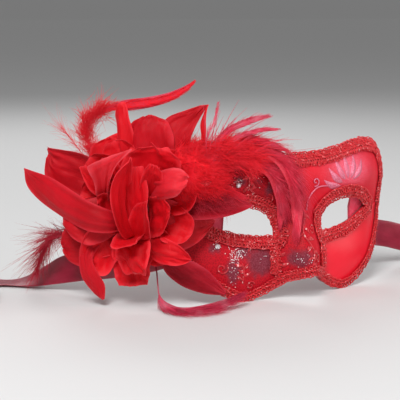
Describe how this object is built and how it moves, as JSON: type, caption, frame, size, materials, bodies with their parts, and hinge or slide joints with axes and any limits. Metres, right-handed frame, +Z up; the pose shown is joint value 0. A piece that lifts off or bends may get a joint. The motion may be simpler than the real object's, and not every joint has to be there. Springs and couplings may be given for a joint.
{
  "type": "venetian half mask",
  "caption": "Red venetian half mask with almond eye holes, braid edging, lace and satin covers, a large fabric flower with feathers on one temple, and satin tie ribbons.",
  "frame": {"origin": "on the mask's middle plane, at the height of the cheek lobes it stands on, in the plane from which the wrap round the face is measured, between the wearer's temples", "axes": "+X across the mask to the viewer's right, the mask faces -Y, the wearer's face is on the +Y side, +Z up towards the brow"},
  "size_m": [0.447, 0.1868, 0.1246],
  "materials": {
    "shell": "moulded shell painted dark red, satin inside",
    "satin": "plain bright red satin",
    "lace": "red lace with leaf and scroll motifs over shimmering tulle",
    "braid": "plaited gimp braid with a faint sheen",
    "rhinestone": "clear faceted stone on foil",
    "felt": "red felt and wound thread",
    "petal": "stiffened red organza satin, paler at the edges",
    "feather": "dyed cock, goose and marabou feather",
    "ribbon": "dark red satin ribbon, pinker on the face"
  },
  "bodies": {
    "root": {"mask_shell": "shell", "brow_nose_cover": "lace", "left_cheek_cover": "lace", "right_cheek_cover": "satin", "brow_braid": "braid", "jaw_braid": "braid", "left_eye_braid": "braid", "right_eye_braid": "braid", "left_nose_braid": "braid", "right_nose_braid": "braid", "brow_rhinestone": "rhinestone", "cheek_rhinestone": "rhinestone", "flower_base": "felt", "flower_core": "petal", "feather_binding": "felt", "outer_petal_1": "petal", "outer_petal_2": "petal", "outer_petal_3": "petal", "outer_petal_4": "petal", "outer_petal_5": "petal", "outer_petal_6": "petal", "outer_petal_7": "petal", "outer_petal_8": "petal", "outer_petal_9": "petal", "outer_petal_10": "petal", "middle_petal_1": "petal", "middle_petal_2": "petal", "middle_petal_3": "petal", "middle_petal_4": "petal", "middle_petal_5": "petal", "middle_petal_6": "petal", "inner_petal_1": "petal", "inner_petal_2": "petal", "inner_petal_3": "petal", "inner_petal_4": "petal", "inner_petal_5": "petal", "eye_petal": "petal", "low_petal": "petal", "arch_feather": "feather", "floor_feather": "feather", "crest_feather_1": "feather", "crest_feather_2": "feather", "crest_feather_3": "feather", "brow_plume_1": "feather", "brow_plume_2": "feather", "brow_plume_3": "feather", "brow_plume_4": "feather", "tuft_1": "feather", "tuft_2": "feather", "left_ribbon_tab": "ribbon", "right_ribbon_tab": "ribbon", "left_ribbon": "ribbon", "right_ribbon": "ribbon", "left_ribbon_coil": "ribbon", "right_ribbon_coil": "ribbon"}
  },
  "joints": []
}
